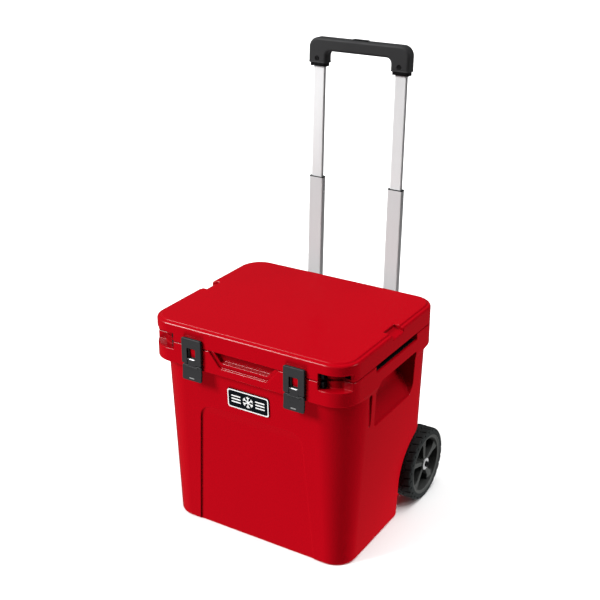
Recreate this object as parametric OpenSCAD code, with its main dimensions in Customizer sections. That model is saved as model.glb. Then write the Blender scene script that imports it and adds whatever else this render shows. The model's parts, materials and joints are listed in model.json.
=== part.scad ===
// Wheeled hard cooler chest with a three-stage pull handle, draw latches and a hinged lid.
// Millimetres, +Z up, front faces -Y, origin on the ground under the middle of the lid.

/* [Chest] */
// Width across the lid and the collar
lid_w = 483; // [470:1:495]
// Depth of the lid, front to back
lid_d = 403; // [395:1:410]
// Corner radius of the lid and the collar
lid_r = 52; // [45:1:58]
// Height of the closed chest
chest_h = 491; // [486:1:500]
// Height of the gap between lid and body
parting_z = 448; // [446:1:450]
// Half width of the base
base_hw = 222; // [218:1:226]
// Distance from the middle to the front of the base
base_front = 168; // [165:1:172]
// Distance from the middle to the back of the base
base_back = 189.3; // [188:0.1:191]
// Thickness of the moulded skins
skin = 5; // [4:0.5:5.5]

/* [Side pockets] */
// Length of the carrying pocket and of the slot above its bar
pocket_l = 176; // [160:1:180]
// Where the pocket's middle lies along the side
pocket_y = 10; // [6:1:14]
// Lowest edge of the pocket
pocket_z = 306; // [300:1:320]

/* [Latches] */
// Distance of each latch from the middle
latch_x = 124; // [115:1:130]
// Width of a latch
latch_w = 49; // [46:1:52]
// Top of the latch frame
latch_top = 467.5; // [465:0.5:470]
// Bottom of the latch lever
latch_low = 372.5; // [368:0.5:380]

/* [Wheels] */
// Outer radius of a tyre
tyre_r = 85; // [83:0.5:85]
// Radius of the rim under the tyre
rim_r = 70.5; // [68:0.5:72]
// Width of a wheel
wheel_w = 46; // [42:1:46]
// Position of the axle behind the middle
axle_y = 181; // [179:0.5:183]
// Radius of the axle
axle_r = 6; // [5:0.5:7]

/* [Handle] */
// Distance of each handle tube from the middle
tube_x = 100; // [96:1:104]
// Backward lean of the handle and of the rear wall, in degrees
lean = 1.82; // [1.8:0.01:1.84]
// Travel of the middle tubes
middle_travel = 245; // [235:1:245]
// Travel of the upper tubes
upper_travel = 245; // [235:1:245]
// Travel of the grip's button
button_travel = 4; // [3:0.5:4]

/* [Hidden] */
$fn = 64;
eps = 0.01;
seat_gap = 0.02;
red = "firebrick";
dark = "dimgray";

// Main body levels
collar_z = 400;
collar_under_z = 388;
rim_z = parting_z - 0.5;
lid_z = parting_z + 0.5;
top_hw = 240;
top_front = 186;
top_back = base_back + collar_z * tan(lean);
base_r = 50;
top_r = 79;
base_edge = 6;
lid_hw = lid_w / 2;
lid_hd = lid_d / 2;
lid_edge = 9;

// Tub inside the body
tub_z = 60;
tub_top_hw = 186;
tub_top_hd = 150;
tub_low_hw = 168;
tub_low_hd = 134;
tub_r = 38;
plug_z = 428;
plug_gap = 4;
gasket_w = 9;
gasket_t = 3.5;

// Hinge across the back of the lid
hinge_y = 203;
hinge_z = 459;
hinge_x = 150;
pin_r = 4;
pin_hl = 44;
knuckle_r = 8.6;
knuckle_w = 32;
knuckle_gap = 0.4;
lid_knuckle_w = 28;

// Recesses round the front corners
recess_x = 175;
recess_y = -171;
recess_low = 430;
recess_top = 466;
recess_depth = 15;

// Finger dip under the front of the lid
dip_top_hw = 83;
dip_low_hw = 58;
dip_z = 416;
dip_depth = 15;

// Carrying pocket in each side
pocket_depth_x = 198;
bar_in_x = 226;
bar_low = 405;
bar_top = 433;

// Groove down each side, in front of the pocket
groove_in_x = 235.5;
groove_y = -101;
groove_r = 5;
groove_low = 320;
groove_high = 385;

// Solid blocks in the back wall for the handle's screws
boss_hw = 30;
boss_y = 162;

// Badge and recess in the front face
badge_z = 346;
panel_low_hw = 149;
panel_top_hw = 124;
panel_top_z = 300;
panel_depth = 3.5;

// Strap notch in each side edge of the lid
notch_x = 219;
notch_l = 48;
notch_z = 477;

// Wheel wells
axle_z = tyre_r;
well_r = 110;
well_x = 188;
wheel_in_x = 196;
wheel_out_x = wheel_in_x + wheel_w;
hub_r = 16;
bush_r = 10;
run = 0.05;
spokes = 5;

// Latch pivots
latch_face = -lid_hd;
latch_y = -205.6;
lever_pin_z = 420;
frame_pin_z = 413;
frame_front = -208;
frame_back = -203.2;
window_hw = 10.8;
window_top = 446;
leg_low = 409.6;
ear_out = 10.4;
ear_in = 7.2;
latch_pin_r = 1.7;

// Handle stations, measured up the leaning rear wall
tube_y = 47;
plate_hw = 27;
plate_t = 7;
plate_screw_x = 17;
upper_screw_z = 354;
lower_screw_z = 128;
outer_size = [40, 20];
outer_wall = 2;
outer_low = 112;
outer_top = 438;
middle_size = [35.4, 15];
middle_wall = 1.6;
middle_low = 388;
middle_top = outer_top + 17 + middle_travel;
upper_size = [28, 9.6];
upper_wall = 1.2;
upper_low = 650;
upper_top = 985;
guide_gap = 0.15;
lock_z = middle_top - 33;
spare_hole_z = middle_top - 14;
lock_r = 2;
grip_low = middle_top + 6 + upper_travel;
grip_under = grip_low + 35;
grip_top = grip_low + 63;
grip_hw = 122;
grip_hd = 14.5;
grip_split = grip_low + 53;
sleeve_in = 79;
rod_r = 2;
bar_t = 4;
bar_z = grip_split - bar_t - 2;
spring_low = bar_z - button_travel - 5;
spring_x = 50;
rod_low = middle_top - 14;
screw_z = grip_low + 18;

// ---------- shared shapes ----------

module round_rect(w, d, r) {
  square([w - 2 * r, d], center = true);
  square([w, d - 2 * r], center = true);
  for (sx = [-1, 1], sy = [-1, 1])
    translate([sx * (w / 2 - r), sy * (d / 2 - r)]) circle(r);
}

module block(w, d, z0, z1, r) {
  translate([0, 0, z0]) linear_extrude(z1 - z0) round_rect(w, d, r);
}

module box(x0, x1, y0, y1, z0, z1) {
  translate([x0, y0, z0]) cube([x1 - x0, y1 - y0, z1 - z0]);
}

module both_sides() {
  children();
  mirror([1, 0, 0]) children();
}

module x_rod(x0, x1, y, z, r) {
  translate([x0, y, z]) rotate([0, 90, 0]) cylinder(h = x1 - x0, r = r);
}

// Extrudes an outline drawn in Y and Z along X
module along_x(x0, x1) {
  translate([x0, 0, 0]) rotate([90, 0, 90]) linear_extrude(x1 - x0) children();
}

// Extrudes an outline drawn in X and Z along Y
module along_y(y0, y1) {
  translate([0, y1, 0]) rotate([90, 0, 0]) linear_extrude(y1 - y0) children();
}

// Turns a part of the handle into line with the leaning rear wall
module leaned() {
  translate([0, base_back, 0]) rotate([-lean, 0, 0]) children();
}

// ---------- body ----------

function at_height(low, high, z) = low + (high - low) * z / collar_z;

// Outline of the tapered body at height z, drawn smaller by inset
module body_slice(z, inset) {
  hw = at_height(base_hw, top_hw, z) - inset;
  front = at_height(base_front, top_front, z) - inset;
  back = at_height(base_back, top_back, z) - inset;
  translate([0, (back - front) / 2, z]) linear_extrude(eps)
    round_rect(2 * hw, front + back, at_height(base_r, top_r, z) - inset);
}

module body_form() {
  hull() {
    body_slice(0, base_edge);
    body_slice(base_edge, 0);
    body_slice(collar_z - eps, 0);
  }
  hull() {
    body_slice(collar_under_z, 0);
    block(lid_w, lid_d, collar_z, rim_z, lid_r);
  }
}

module tub_form(grow, z0, z1) {
  hull() {
    block(2 * (tub_low_hw + grow), 2 * (tub_low_hd + grow), z0, z0 + eps, tub_r + grow);
    block(2 * (tub_top_hw + grow), 2 * (tub_top_hd + grow), z1 - eps, z1, tub_r + grow);
  }
}

module wheel_well(grow) {
  both_sides() {
    x_rod(well_x - grow, lid_w, axle_y, axle_z, well_r + grow);
    box(well_x - grow, lid_w, axle_y - well_r - grow, lid_w, -1, axle_z);
  }
}

// Recess round both front corners, between two heights
module corner_recess(z0, z1, depth) {
  difference() {
    both_sides() box(recess_x, lid_w, -lid_w, recess_y, z0, z1);
    block(lid_w - 2 * depth, lid_d - 2 * depth, z0 - 1, z1 + 1, lid_r - depth);
  }
}

module finger_dip() {
  along_y(-lid_w, -lid_hd + dip_depth)
    polygon([
      [-dip_top_hw, parting_z], [-dip_low_hw, dip_z],
      [dip_low_hw, dip_z], [dip_top_hw, parting_z]
    ]);
}

// Wedge that opens out below and above the carrying bar
module side_pocket() {
  both_sides() difference() {
    along_y(pocket_y - pocket_l / 2, pocket_y + pocket_l / 2)
      polygon([
        [lid_w, pocket_z], [at_height(base_hw, top_hw, pocket_z), pocket_z],
        [pocket_depth_x, pocket_z + 46], [pocket_depth_x, parting_z], [lid_w, parting_z]
      ]);
    box(bar_in_x, lid_w, -lid_w, lid_w, bar_low, bar_top);
  }
}

module side_groove() {
  both_sides() {
    for (z = [groove_low, groove_high]) x_rod(groove_in_x, lid_w, groove_y, z, groove_r);
    box(groove_in_x, lid_w, groove_y - groove_r, groove_y + groove_r, groove_low, groove_high);
  }
}

module front_panel() {
  slope = atan((top_front - base_front) / collar_z);
  translate([0, -base_front, 0]) rotate([slope, 0, 0]) along_y(-40, panel_depth)
    polygon([
      [-panel_low_hw, -10], [-panel_top_hw, panel_top_z - 24], [-panel_top_hw + 18, panel_top_z],
      [panel_top_hw - 18, panel_top_z], [panel_top_hw, panel_top_z - 24], [panel_low_hw, -10]
    ]);
}

// Solid places inside the walls that pockets, screws and pins need
module body_bosses() {
  both_sides() {
    box(recess_x - 14, lid_w, -lid_w, recess_y + 14, recess_low - skin, chest_h);
    box(pocket_depth_x - skin, lid_w, pocket_y - pocket_l / 2 - skin,
      pocket_y + pocket_l / 2 + skin, pocket_z - 16, chest_h);
    box(latch_x - 24, latch_x + 24, -lid_w, latch_face + 18, 398, chest_h);
    box(tube_x - boss_hw, tube_x + boss_hw, boss_y, lid_w, upper_screw_z - boss_hw, collar_z);
    box(tube_x - boss_hw, tube_x + boss_hw, boss_y, lid_w, lower_screw_z - boss_hw, lower_screw_z + boss_hw);
    box(groove_in_x - 10, lid_w, groove_y - 11, groove_y + 11, groove_low - 15, groove_high + 13);
    box(100, 170, -160, -120, 0, 12);
  }
  box(-dip_top_hw - 5, dip_top_hw + 5, -lid_w, -lid_hd + dip_depth + skin, dip_z - skin, chest_h);
  x_rod(-lid_w, lid_w, axle_y, axle_z, axle_r + skin);
  wheel_well(skin);
}

module body_void() {
  difference() {
    hull() {
      body_slice(skin, skin);
      body_slice(collar_z - eps, skin + 5);
    }
    tub_form(skin, tub_z - skin, rim_z);
    body_bosses();
  }
}

module body_knuckle() {
  both_sides() translate([hinge_x - knuckle_w / 2, 0, 0]) {
    x_rod(0, knuckle_w, hinge_y, hinge_z, knuckle_r);
    along_x(0, knuckle_w)
      polygon([
        [196, 440], [196, hinge_z], [hinge_y + knuckle_r, hinge_z],
        [hinge_y + knuckle_r, 440], [201, 429], [196, 429]
      ]);
  }
}

module feet_form(r) {
  both_sides() translate([135, -143, 0]) linear_extrude(3) round_rect(56, 16, r);
}

module screw_holes_latch(r, depth) {
  for (s = [-1, 1], x = [-16, 16], z = [408, 438])
    translate([s * latch_x + x, latch_face, z]) rotate([-90, 0, 0]) cylinder(h = depth, r = r);
}

module screw_holes_bracket(r, depth) {
  leaned() for (s = [-1, 1], x = [-1, 1] * plate_screw_x, z = [upper_screw_z, lower_screw_z])
    translate([s * tube_x + x, -depth, z]) rotate([-90, 0, 0]) cylinder(h = depth, r = r);
}

module body_shell() {
  color(red) difference() {
    union() {
      body_form();
      body_knuckle();
    }
    tub_form(0, tub_z, rim_z + 1);
    body_void();
    wheel_well(0);
    corner_recess(recess_low, chest_h, recess_depth);
    finger_dip();
    side_pocket();
    side_groove();
    front_panel();
    feet_form(4);
    x_rod(-lid_w, lid_w, hinge_y, hinge_z, pin_r);
    x_rod(-lid_w, lid_w, axle_y, axle_z, axle_r);
    screw_holes_latch(1.6, 12);
    screw_holes_bracket(2.5, 18);
  }
}

module body_foam() {
  color("khaki") body_void();
}

module badge() {
  slope = atan((top_front - base_front) / collar_z);
  color("black") translate([0, -at_height(base_front, top_front, badge_z) - seat_gap, badge_z])
    rotate([90 + slope, 0, 0]) difference() {
      linear_extrude(2.4) round_rect(102, 44, 6);
      translate([0, 0, 1.6]) linear_extrude(2) difference() {
        round_rect(98, 40, 5);
        round_rect(94, 36, 4);
      }
    }
}

module front_feet() {
  color("black") feet_form(4);
}

// ---------- lid ----------

module lid_form(inset) {
  hull() {
    block(lid_w - 2 * inset, lid_d - 2 * inset, lid_z + inset, chest_h - lid_edge, lid_r - inset);
    for (a = [30, 60, 90])
      let (back = lid_edge * (1 - cos(a)), up = lid_edge * sin(a))
        block(lid_w - 2 * (inset + back), lid_d - 2 * (inset + back),
          chest_h - lid_edge + up - inset - eps, chest_h - lid_edge + up - inset, lid_r - inset - back);
  }
}

module plug_form(inset) {
  w = 2 * (tub_top_hw - plug_gap - inset);
  d = 2 * (tub_top_hd - plug_gap - inset);
  block(w, d, plug_z + inset, lid_z + 6, tub_r - inset);
}

module strap_notch() {
  both_sides() translate([0, pocket_y - 2, 0]) along_y(-notch_l / 2, notch_l / 2)
    polygon([[notch_x, chest_h + 1], [notch_x, 484], [lid_hw + 1, notch_z], [lid_hw + 1, chest_h + 1]]);
}

module lid_bosses() {
  corner_recess(lid_z - 1, recess_top + skin, recess_depth + skin);
  both_sides() {
    box(95, 205, 182, lid_w, lid_z - 1, chest_h);
    box(notch_x - skin, lid_w, pocket_y - notch_l / 2 - skin - 2,
      pocket_y + notch_l / 2 + skin, lid_z - 1, chest_h);
  }
}

module lid_void() {
  difference() {
    union() {
      lid_form(skin);
      plug_form(skin);
    }
    lid_bosses();
    gasket_form(skin, gasket_t + skin);
  }
}

// Ring that seals the lid on the rim, drawn larger by grow
module gasket_form(grow, height) {
  difference() {
    block(2 * (tub_top_hw + gasket_w + grow), 2 * (tub_top_hd + gasket_w + grow),
      rim_z, rim_z + height, tub_r + gasket_w + grow);
    block(2 * (tub_top_hw - grow), 2 * (tub_top_hd - grow), rim_z - 1, chest_h, tub_r - grow);
  }
}

module lid_knuckle() {
  both_sides() for (x = [hinge_x - knuckle_w / 2 - knuckle_gap - lid_knuckle_w,
                         hinge_x + knuckle_w / 2 + knuckle_gap]) {
    x_rod(x, x + lid_knuckle_w, hinge_y, hinge_z, knuckle_r);
    box(x, x + lid_knuckle_w, 195, hinge_y, hinge_z - knuckle_r, hinge_z + knuckle_r);
  }
}

module knuckle_notch() {
  both_sides() box(hinge_x - knuckle_w / 2 - knuckle_gap, hinge_x + knuckle_w / 2 + knuckle_gap,
    193.5, lid_w, lid_z - 1, 469);
}

module lid_shell() {
  color(red) difference() {
    union() {
      lid_form(0);
      plug_form(0);
      lid_knuckle();
    }
    lid_void();
    corner_recess(lid_z - 1, recess_top, recess_depth);
    strap_notch();
    gasket_form(0, gasket_t);
    knuckle_notch();
    both_sides() x_rod(hinge_x - pin_hl - 2, hinge_x + pin_hl + 2, hinge_y, hinge_z, pin_r + run);
  }
}

module lid_foam() {
  color("khaki") lid_void();
}

module lid_gasket() {
  color("black") gasket_form(0, gasket_t);
}

module hinge_pin(side) {
  color("silver") translate([side * hinge_x, 0, 0])
    x_rod(-pin_hl, pin_hl, hinge_y, hinge_z, pin_r);
}

// ---------- latches ----------

module latch_base(side) {
  color(dark) translate([side * latch_x, 0, 0]) difference() {
    union() {
      difference() {
        box(-22, 22, latch_face - 1.2, latch_face, 403, window_top);
        box(-ear_in, ear_in, -lid_w, 0, 424, window_top + 1);
      }
      both_sides() {
        x_rod(ear_in, ear_out, latch_y, lever_pin_z, 3);
        box(ear_in, ear_out, latch_y, latch_face, lever_pin_z - 3, lever_pin_z + 3);
        box(ear_in, ear_out, latch_y + 1, latch_face, lever_pin_z, window_top);
      }
    }
    x_rod(-30, 30, latch_y, lever_pin_z, latch_pin_r);
    for (x = [-16, 16], z = [408, 438])
      translate([x, 0, z]) rotate([90, 0, 0]) cylinder(h = lid_w, r = 1.6);
    box(-ear_in, ear_in, -lid_w, latch_face - 0.6, 403, 424.5);
  }
}

module latch_screws() {
  color("silver") screw_holes_latch(1.6, 12);
  color("silver") for (s = [-1, 1], x = [-16, 16], z = [408, 438])
    translate([s * latch_x + x, latch_face - 1.2, z]) rotate([-90, 0, 0]) cylinder(h = 1.2, r = 1.6);
}

module lever_pin(side) {
  color("silver") translate([side * latch_x, 0, 0])
    x_rod(-ear_out, ear_out, latch_y, lever_pin_z, latch_pin_r);
}

module latch_lever(side) {
  tongue_hw = ear_in - 0.4;
  color(dark) translate([side * latch_x, 0, 0]) difference() {
    union() {
      x_rod(-tongue_hw, tongue_hw, latch_y, lever_pin_z, 3);
      box(-tongue_hw, tongue_hw, frame_front + 0.2, latch_y + 2.4, 400, lever_pin_z);
      along_x(-latch_w / 2, latch_w / 2)
        polygon([
          [-207.8, 406], [-207, 407.3], [-204.4, 407.3], [-203.4, 404], [-203.4, 392],
          [-204.4, 380], [-206, latch_low], [-209, latch_low], [-209.6, 376], [-208.4, 390]
        ]);
    }
    x_rod(-30, 30, latch_y, lever_pin_z, latch_pin_r + run);
    x_rod(-30, 30, latch_y, frame_pin_z, latch_pin_r);
  }
}

module latch_frame(side) {
  color(dark) translate([side * latch_x, 0, 0]) difference() {
    union() {
      along_y(frame_front, frame_back) difference() {
        translate([0, (latch_top + leg_low) / 2]) round_rect(latch_w, latch_top - leg_low, 3);
        translate([-window_hw, leg_low - 1]) square([2 * window_hw, window_top - leg_low + 1]);
      }
      box(-latch_w / 2 + 3, latch_w / 2 - 3, frame_back - 1, latch_face - 0.5, 454, latch_top - 3);
    }
    x_rod(-30, 30, latch_y, frame_pin_z, latch_pin_r + run);
  }
}

module frame_pin(side) {
  color("silver") translate([side * latch_x, 0, 0])
    x_rod(-latch_w / 2 + 1, latch_w / 2 - 1, latch_y, frame_pin_z, latch_pin_r);
}

// ---------- wheels and axle ----------

module axle() {
  color("silver") difference() {
    x_rod(-wheel_out_x + 4, wheel_out_x - 4, axle_y, axle_z, axle_r);
    both_sides() x_rod(wheel_out_x - 22, wheel_out_x, axle_y, axle_z, 3);
  }
}

module axle_washers() {
  color("silver") both_sides() difference() {
    x_rod(wheel_out_x - 4, wheel_out_x - 2, axle_y, axle_z, 14);
    x_rod(wheel_out_x - 5, wheel_out_x, axle_y, axle_z, 3);
  }
}

module axle_bolts() {
  color("black") both_sides() {
    x_rod(wheel_out_x - 20, wheel_out_x - 2, axle_y, axle_z, 3);
    difference() {
      x_rod(wheel_out_x - 2, wheel_out_x + 2, axle_y, axle_z, 6.5);
      translate([wheel_out_x - 0.5, axle_y, axle_z]) rotate([0, 90, 0]) cylinder(h = 4, r = 3.2, $fn = 6);
    }
  }
}

module wheel_place(side) {
  translate([side * wheel_in_x, axle_y, axle_z]) rotate([0, side * 90, 0]) children();
}

module tyre(side) {
  color("black") wheel_place(side) difference() {
    rotate_extrude($fn = 128)
      polygon([
        [rim_r, 2], [tyre_r - 8, 0], [tyre_r - 1.5, 4], [tyre_r, 12],
        [tyre_r, wheel_w - 12], [tyre_r - 1.5, wheel_w - 4], [tyre_r - 8, wheel_w], [rim_r, wheel_w - 2]
      ]);
    for (a = [0:15:345]) rotate([0, 0, a]) for (z = [-1, wheel_w - 9])
      translate([tyre_r - 3, -2, z]) cube([6, 4, 10]);
  }
}

module wheel_rim(side) {
  color(dark) wheel_place(side) difference() {
    union() {
      rotate_extrude($fn = 128)
        polygon([
          [rim_r - 8, 4], [rim_r, 2], [rim_r, wheel_w - 2], [rim_r - 8, wheel_w - 3]
        ]);
      cylinder(h = wheel_w - 4.2, r = hub_r);
      for (i = [0:spokes - 1]) rotate([0, 0, 180 + i * 360 / spokes]) translate([0, 0, wheel_w - 22])
        linear_extrude(16) polygon([[0, -7], [0, 7], [rim_r - 7, 11], [rim_r - 7, -11]]);
    }
    translate([0, 0, -1]) cylinder(h = wheel_w + 2, r = bush_r);
  }
}

module hub_bush(side) {
  color("white") wheel_place(side) difference() {
    cylinder(h = wheel_w - 4.2, r = bush_r);
    translate([0, 0, -1]) cylinder(h = wheel_w, r = axle_r + run);
  }
}

// ---------- handle ----------

module tube(size, wall, z0, z1) {
  translate([0, 0, z0]) linear_extrude(z1 - z0) difference() {
    round_rect(size[0], size[1], 3.4);
    round_rect(size[0] - 2 * wall, size[1] - 2 * wall, 3.4 - wall);
  }
}

module tube_hole(size, grow, z0, z1) {
  translate([0, 0, z0]) linear_extrude(z1 - z0)
    round_rect(size[0] + 2 * grow, size[1] + 2 * grow, 3.4 + grow);
}

module plug(size, wall, z0, z1) {
  translate([0, 0, z0]) linear_extrude(z1 - z0)
    round_rect(size[0] - 2 * wall, size[1] - 2 * wall, 3.4 - wall);
}

// Axis of the handle tube on one side
module at_tube(side) {
  leaned() translate([side * tube_x, tube_y, 0]) children();
}

module bracket(side, z0, z1, floor_t) {
  color("black") at_tube(side) difference() {
    union() {
      translate([-plate_hw, seat_gap - tube_y, z0 - 6]) cube([2 * plate_hw, plate_t, z1 - z0 + 12]);
      translate([-20, seat_gap - tube_y, z0]) cube([40, tube_y, z1 - z0]);
      block(48, 28, z0, z1, 6);
    }
    tube_hole(outer_size, 0, z0 + floor_t, z1 + 1);
    if (floor_t == 0) tube_hole(outer_size, 0, z0 - 1, z1 + 1);
  }
}

module upper_bracket(side) {
  difference() {
    bracket(side, 378, 418, 0);
    bracket_lugs(upper_screw_z);
  }
  bracket_lug_plate(side, 341, 372, upper_screw_z);
}

module lower_bracket(side) {
  difference() {
    bracket(side, 108, 118, 4);
    bracket_lugs(lower_screw_z);
  }
  bracket_lug_plate(side, 118, 140, lower_screw_z);
}

// Screw holes through the wall plates
module bracket_lugs(z) {
  leaned() for (s = [-1, 1], x = [-1, 1] * plate_screw_x)
    translate([s * tube_x + x, -1, z]) rotate([-90, 0, 0]) cylinder(h = 20, r = 2.5);
}

module bracket_lug_plate(side, z0, z1, z) {
  color("black") difference() {
    at_tube(side) translate([-plate_hw, seat_gap - tube_y, z0]) cube([2 * plate_hw, plate_t, z1 - z0]);
    bracket_lugs(z);
  }
}

module bracket_screws() {
  color("silver") {
    screw_holes_bracket(2.5, 18);
    leaned() for (s = [-1, 1], x = [-1, 1] * plate_screw_x, z = [upper_screw_z, lower_screw_z])
      translate([s * tube_x + x, 0, z]) rotate([-90, 0, 0]) {
        cylinder(h = plate_t + seat_gap, r = 2.5);
        translate([0, 0, plate_t + seat_gap]) cylinder(h = 2.5, r = 4.5);
      }
  }
}

module outer_tube(side) {
  color("gainsboro") at_tube(side) tube(outer_size, outer_wall, outer_low, outer_top);
}

module outer_collar(side) {
  color("black") at_tube(side) difference() {
    block(46, 26, 420, outer_top + 4, 5);
    tube_hole(outer_size, 0, 419, outer_top);
    tube_hole(middle_size, guide_gap, outer_top - 1, outer_top + 5);
  }
}

module middle_tube(side) {
  color("gainsboro") at_tube(side) difference() {
    tube(middle_size, middle_wall, middle_low, middle_top);
    for (z = [lock_z, spare_hole_z]) x_rod(-20, 20, 0, z, lock_r + 0.3);
  }
}

// Guide pressed into the middle tube, with a thin flange on top
module middle_collar(side) {
  color("black") at_tube(side) difference() {
    union() {
      tube_hole(middle_size, 0.3, middle_top, middle_top + 2);
      plug(middle_size, middle_wall, spare_hole_z + lock_r + 1, middle_top);
    }
    tube_hole(upper_size, guide_gap, lock_z, middle_top + 3);
  }
}

module middle_glide(side) {
  color("black") at_tube(side) {
    tube_hole(outer_size, -outer_wall - guide_gap, middle_low - 8, middle_low);
    plug(middle_size, middle_wall, middle_low, middle_low + 6);
  }
}

module upper_tube(side) {
  color("whitesmoke") at_tube(side) difference() {
    tube(upper_size, upper_wall, upper_low, upper_top);
    x_rod(side > 0 ? -20 : 10, side > 0 ? -10 : 20, 0, lock_z, lock_r + 0.3);
    translate([0, 0, screw_z]) rotate([90, 0, 0]) cylinder(h = 20, r = 2);
  }
}

module upper_glide(side) {
  color("black") at_tube(side) difference() {
    union() {
      tube_hole(middle_size, -middle_wall - guide_gap, upper_low - 10, upper_low);
      plug(upper_size, upper_wall, upper_low, upper_low + 25);
    }
    x_rod(side > 0 ? -20 : -4, side > 0 ? 4 : 20, 0, lock_z, lock_r + run);
  }
}

// Tip of the pin stands just inside the middle tube's wall
module lock_pin(side) {
  tip = middle_size[0] / 2 - middle_wall - 0.1;
  color("silver") at_tube(side)
    x_rod(side > 0 ? -tip : 4, side > 0 ? -4 : tip, 0, lock_z, lock_r);
}

module grip_outline() {
  difference() {
    translate([0, (grip_top + grip_low) / 2]) round_rect(2 * grip_hw, grip_top - grip_low, 20);
    translate([0, grip_low]) round_rect(2 * sleeve_in, 2 * (grip_under - grip_low), 12);
  }
}

module grip_solid() {
  leaned() translate([0, tube_y, 0]) along_y(-grip_hd, grip_hd) grip_outline();
}

module grip_hollow() {
  leaned() translate([0, tube_y, 0]) {
    box(-grip_hw + 10, grip_hw - 10, -8, 8, spring_low, grip_split);
    for (s = [-1, 1]) translate([s * tube_x, 0, 0]) {
      tube_hole(upper_size, 0, grip_low - 1, upper_top);
      cylinder(h = grip_split, r = rod_r + 1);
    }
  }
}

module grip_screw_holes(r, head_r) {
  leaned() for (s = [-1, 1]) translate([s * tube_x, tube_y, screw_z]) rotate([90, 0, 0]) {
    translate([0, 0, 3.6]) cylinder(h = 9, r = r);
    translate([0, 0, grip_hd - 2.4]) cylinder(h = 2.4, r = head_r);
  }
}

module grip_body() {
  color(dark) difference() {
    grip_solid();
    grip_hollow();
    leaned() box(-lid_w, lid_w, 0, 100, grip_split, grip_top + 1);
    grip_screw_holes(2, 4);
  }
}

module grip_cap() {
  color(dark) intersection() {
    difference() {
      grip_solid();
      leaned() translate([0, tube_y, 0]) box(-19.5, 19.5, -6.5, 6.5, grip_split - 1, grip_top + 1);
    }
    leaned() box(-lid_w, lid_w, 0, 100, grip_split, grip_top + 1);
  }
}

module grip_screws() {
  color("silver") difference() {
    grip_screw_holes(2, 4);
    leaned() for (s = [-1, 1]) translate([s * tube_x, tube_y - grip_hd + 1.2, screw_z])
      rotate([90, 0, 0]) cylinder(h = 4, r = 1.6, $fn = 6);
  }
}

module grip_button() {
  color("black") leaned() translate([0, tube_y, 0]) block(38, 12, bar_z + bar_t, grip_top + 2, 4);
}

module release_bar() {
  color("white") leaned() translate([0, tube_y, 0]) difference() {
    box(-106, 106, -6, 6, bar_z, bar_z + bar_t);
    for (s = [-1, 1]) translate([s * tube_x, 0, bar_z - 1]) cylinder(h = bar_t + 2, r = rod_r);
  }
}

module release_rod(side) {
  color("silver") at_tube(side) translate([0, 0, rod_low]) cylinder(h = bar_z + bar_t - rod_low, r = rod_r);
}

// Coil spring as a swept round wire
module coil(r, wire_r, h, turns) {
  sides = 6;
  steps = turns * 12;
  points = [for (i = [0:steps], j = [0:sides - 1])
    let (a = 360 * i / 12, b = 360 * j / sides, q = r + wire_r * cos(b))
      [q * cos(a), q * sin(a), wire_r + (h - 2 * wire_r) * i / steps + wire_r * sin(b)]];
  faces = concat(
    [[for (j = [0:sides - 1]) j]],
    [for (i = [0:steps - 1], j = [0:sides - 1])
      let (k = (j + 1) % sides)
        [i * sides + j, (i + 1) * sides + j, (i + 1) * sides + k, i * sides + k]],
    [[for (j = [sides - 1:-1:0]) steps * sides + j]]
  );
  polyhedron(points, faces);
}

module button_springs() {
  color("silver") leaned() for (s = [-1, 1])
    translate([s * spring_x, tube_y, spring_low]) coil(4, 0.5, bar_z - spring_low, 4);
}

body_shell();
body_foam();
badge();
front_feet();
hinge_pin(-1);  // hinge_pin_left
hinge_pin(1);  // hinge_pin_right
latch_base(-1);  // latch_base_left
latch_base(1);  // latch_base_right
latch_screws();
lever_pin(-1);  // lever_pin_left
lever_pin(1);  // lever_pin_right
axle();
axle_washers();
axle_bolts();
upper_bracket(-1);  // upper_bracket_left
upper_bracket(1);  // upper_bracket_right
lower_bracket(-1);  // lower_bracket_left
lower_bracket(1);  // lower_bracket_right
bracket_screws();
outer_tube(-1);  // outer_tube_left
outer_tube(1);  // outer_tube_right
outer_collar(-1);  // outer_collar_left
outer_collar(1);  // outer_collar_right
lid_shell();
lid_foam();
lid_gasket();
latch_lever(-1);  // latch_lever_left
latch_lever(1);  // latch_lever_right
latch_frame(-1);  // latch_frame_left
latch_frame(1);  // latch_frame_right
frame_pin(-1);  // frame_pin_left
frame_pin(1);  // frame_pin_right
tyre(-1);  // tyre_left
tyre(1);  // tyre_right
wheel_rim(-1);  // wheel_rim_left
wheel_rim(1);  // wheel_rim_right
hub_bush(-1);  // hub_bush_left
hub_bush(1);  // hub_bush_right
middle_tube(-1);  // middle_tube_left
middle_tube(1);  // middle_tube_right
middle_collar(-1);  // middle_collar_left
middle_collar(1);  // middle_collar_right
middle_glide(-1);  // middle_glide_left
middle_glide(1);  // middle_glide_right
upper_tube(-1);  // upper_tube_left
upper_tube(1);  // upper_tube_right
upper_glide(-1);  // upper_glide_left
upper_glide(1);  // upper_glide_right
lock_pin(-1);  // lock_pin_left
lock_pin(1);  // lock_pin_right
grip_body();
grip_cap();
grip_screws();
grip_button();
release_bar();
release_rod(-1);  // release_rod_left
release_rod(1);  // release_rod_right
button_springs();
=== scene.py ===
"""Looks of a wheeled cooler chest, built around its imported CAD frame.

Shapes are distance fields in millimetres, turned into meshes in metres whose points sit on the field.
"""

import json
import math
from functools import partial, reduce

import bpy
import numpy as np
import openvdb
from mathutils import Matrix, Vector


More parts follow.
